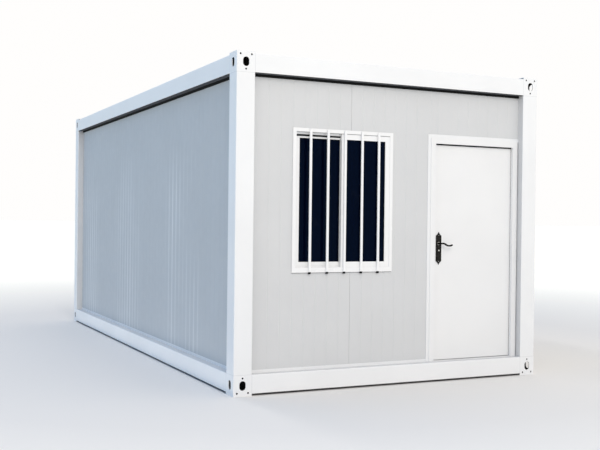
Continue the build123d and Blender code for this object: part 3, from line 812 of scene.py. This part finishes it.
def eaves_seals_and_shadow_strips(shape):
    """A black foam strip in the gap between each roof beam's flange and the wall below it; the part that
    hangs below the beam is painted shade, the beam's shadow on the wall.
    """
    low_z, high_z = seam_high - EAVES_SHADOW_DROP, seam_high + EAVES_SEAL_RISE
    end_x, end_y = seam_x - EAVES_SEAL_END_GAP, seam_y - EAVES_SEAL_END_GAP
    outer_x = block_reach_x - EAVES_FLANGE - EAVES_SEAL_GAP
    outer_y = block_reach_y - EAVES_FLANGE - EAVES_SEAL_GAP
    for sign in (-1, 1):
        low_y, high_y = sorted((sign * outer_y, sign * (outer_y - EAVES_SEAL_THICKNESS)))
        add_box(shape, (-end_x, low_y, low_z), (end_x, high_y, high_z))
        low_x, high_x = sorted((sign * outer_x, sign * (outer_x - EAVES_SEAL_THICKNESS)))
        add_box(shape, (low_x, -end_y, low_z), (high_x, end_y, high_z))


BEAD_HALF_WIDTH = 2.2 * MILLIMETRE
BEAD_FRONT = 0.5 * MILLIMETRE
BEAD_BACK = 4 * MILLIMETRE
BEAD_END_GAP = 1 * MILLIMETRE


def joint_sealant(shape):
    """A bead of sealant in each joint of the front wall, above and below the window."""
    left_low, left_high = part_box("front_wall_left")
    over_low, over_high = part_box("front_wall_over_door")
    for x, low_z, high_z in (
        (left_high.x, left_low.z, frame_low.z),
        (left_high.x, frame_high.z, left_high.z),
        (over_low.x, over_low.z, over_high.z),
    ):
        add_box(
            shape,
            (x - BEAD_HALF_WIDTH, panel_front + BEAD_FRONT, low_z + BEAD_END_GAP),
            (x + BEAD_HALF_WIDTH, panel_front + BEAD_BACK, high_z - BEAD_END_GAP),
        )


# Sizes of the roof as in the part's source, and its screws
ROOF_RIB_PITCH = 225 * MILLIMETRE
PURLIN_COUNT = 5
PURLIN_WIDTH = 50 * MILLIMETRE
ROOF_SCREW_ROWS = 9
ROOF_SCREW_MARGIN = 100 * MILLIMETRE
ROOF_SCREW_RADIUS = 7 * MILLIMETRE
ROOF_SCREW_HEIGHT = 4 * MILLIMETRE


def roof_screws():
    """Rows of screws on the ribs of the roof sheet that lie nearest to the purlins."""
    roof_low, roof_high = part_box("roof_sheet")
    purlin_low, purlin_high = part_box("roof_purlins")
    purlin_pitch = (purlin_high.y - purlin_low.y - PURLIN_WIDTH) / (PURLIN_COUNT - 1)
    row_pitch = (roof_high.x - roof_low.x - 2 * ROOF_SCREW_MARGIN) / (ROOF_SCREW_ROWS - 1)
    places = []
    for index in range(PURLIN_COUNT):
        purlin_y = purlin_low.y + PURLIN_WIDTH / 2 + index * purlin_pitch
        # The sheet has an even number of ribs, so they lie half a pitch off its middle.
        rib_y = (round(purlin_y / ROOF_RIB_PITCH - 0.5) + 0.5) * ROOF_RIB_PITCH
        for row in range(ROOF_SCREW_ROWS):
            places.append(((row - (ROOF_SCREW_ROWS - 1) / 2) * row_pitch, rib_y, roof_high.z))
    screw_heads(
        "roof_screws", places, (0, 0, 1), ROOF_SCREW_RADIUS, ROOF_SCREW_HEIGHT, "house"
    )


def floor():
    """A wide pale floor that glows more far from the house, as painted light, so that its horizon does not
    show.
    """
    mesh = bpy.data.meshes.new("floor")
    shape = bmesh.new()
    bmesh.ops.create_grid(shape, x_segments=1, y_segments=1, size=FLOOR_REACH)
    shape.to_mesh(mesh)
    shape.free()
    finish = Finish("floor_pale")
    finish.colour(FLOOR_COLOUR)
    finish.value("Roughness", FLOOR_ROUGHNESS)
    distance = finish.add("ShaderNodeVectorMath", operation="LENGTH")
    finish.join(finish.place, distance.inputs[0])
    # Painted light: the floor glows more the farther it lies from the house.
    finish.value("Emission Strength", finish.span(distance.outputs["Value"], *FLOOR_GLOW_SPAN))
    finish.colour(FLOOR_GLOW_COLOUR, "Emission Color")
    mesh.materials.append(finish.material)
    piece = bpy.data.objects.new("floor", mesh)
    bpy.context.scene.collection.objects.link(piece)


def sky():
    """A white sky that is blue on the left: pale at the horizon and deeper above."""
    world = bpy.data.worlds.new("sky")
    bpy.context.scene.world = world
    world.use_nodes = True
    shading = Shading(world.node_tree, "Generated")
    x, y, z = shading.axes()
    on_left = shading.product(shading.span(x, *LEFT_SKY_FROM_X), shading.span(y, *LEFT_SKY_FROM_Y))
    left_sky = shading.blend(shading.span(z, *LEFT_SKY_FROM_Z), LOW_LEFT_SKY, HIGH_LEFT_SKY)
    background = world.node_tree.nodes["Background"]
    shading.join(shading.blend(on_left, FRONT_SKY, left_sky), background.inputs["Color"])
    shading.join(SKY_STRENGTH, background.inputs["Strength"])


def add_light(name, place, turn, size, power, colour):
    """A rectangular light that the camera does not see."""
    light = bpy.data.lights.new(name, "AREA")
    light.shape = "RECTANGLE"
    light.size, light.size_y = size
    light.energy = power
    light.color = colour
    lamp = bpy.data.objects.new(name, light)
    lamp.location = place
    lamp.rotation_euler = turn
    lamp.visible_camera = False
    bpy.context.scene.collection.objects.link(lamp)


def lights():
    """One soft key light in front, and two strips along the left side."""
    towards_house = (KEY_AIM - KEY_PLACE).to_track_quat("-Z", "Y").to_euler()
    add_light("key", KEY_PLACE, towards_house, KEY_SIZE, KEY_POWER, KEY_COLOUR)
    add_light("overhead", OVERHEAD_PLACE, FACING_DOWN, OVERHEAD_SIZE, OVERHEAD_POWER, KEY_COLOUR)
    add_light("ground_bounce", BOUNCE_PLACE, FACING_UP, BOUNCE_SIZE, BOUNCE_POWER, BOUNCE_COLOUR)


def camera():
    """The photo's camera, turned by its yaw, pitch and roll."""
    forward = Vector((
        math.sin(CAMERA_YAW) * math.cos(CAMERA_PITCH),
        math.cos(CAMERA_YAW) * math.cos(CAMERA_PITCH),
        math.sin(CAMERA_PITCH),
    ))
    level_right = Vector((math.cos(CAMERA_YAW), -math.sin(CAMERA_YAW), 0))
    level_up = level_right.cross(forward)
    right = level_right * math.cos(CAMERA_ROLL) + level_up * math.sin(CAMERA_ROLL)
    up = level_up * math.cos(CAMERA_ROLL) - level_right * math.sin(CAMERA_ROLL)
    lens = bpy.data.cameras.new("camera")
    lens.sensor_fit = "HORIZONTAL"
    lens.sensor_width = CAMERA_SENSOR
    lens.lens = CAMERA_LENS
    viewer = bpy.data.objects.new("camera", lens)
    turn = Matrix((right, up, -forward)).transposed().to_4x4()
    viewer.matrix_world = Matrix.Translation(CAMERA_PLACE) @ turn
    bpy.context.scene.collection.objects.link(viewer)
    bpy.context.scene.camera = viewer
    bpy.context.scene.view_settings.view_transform = "Standard"


dress_packed_pieces()
window_details()
door_details()
make_piece("eaves_seals_and_shadow_strips", eaves_seals_and_shadow_strips, black_rubber, "house")
make_piece("joint_sealant", joint_sealant, wall_sealant, "house")
roof_screws()
floor()
sky()
lights()
camera()
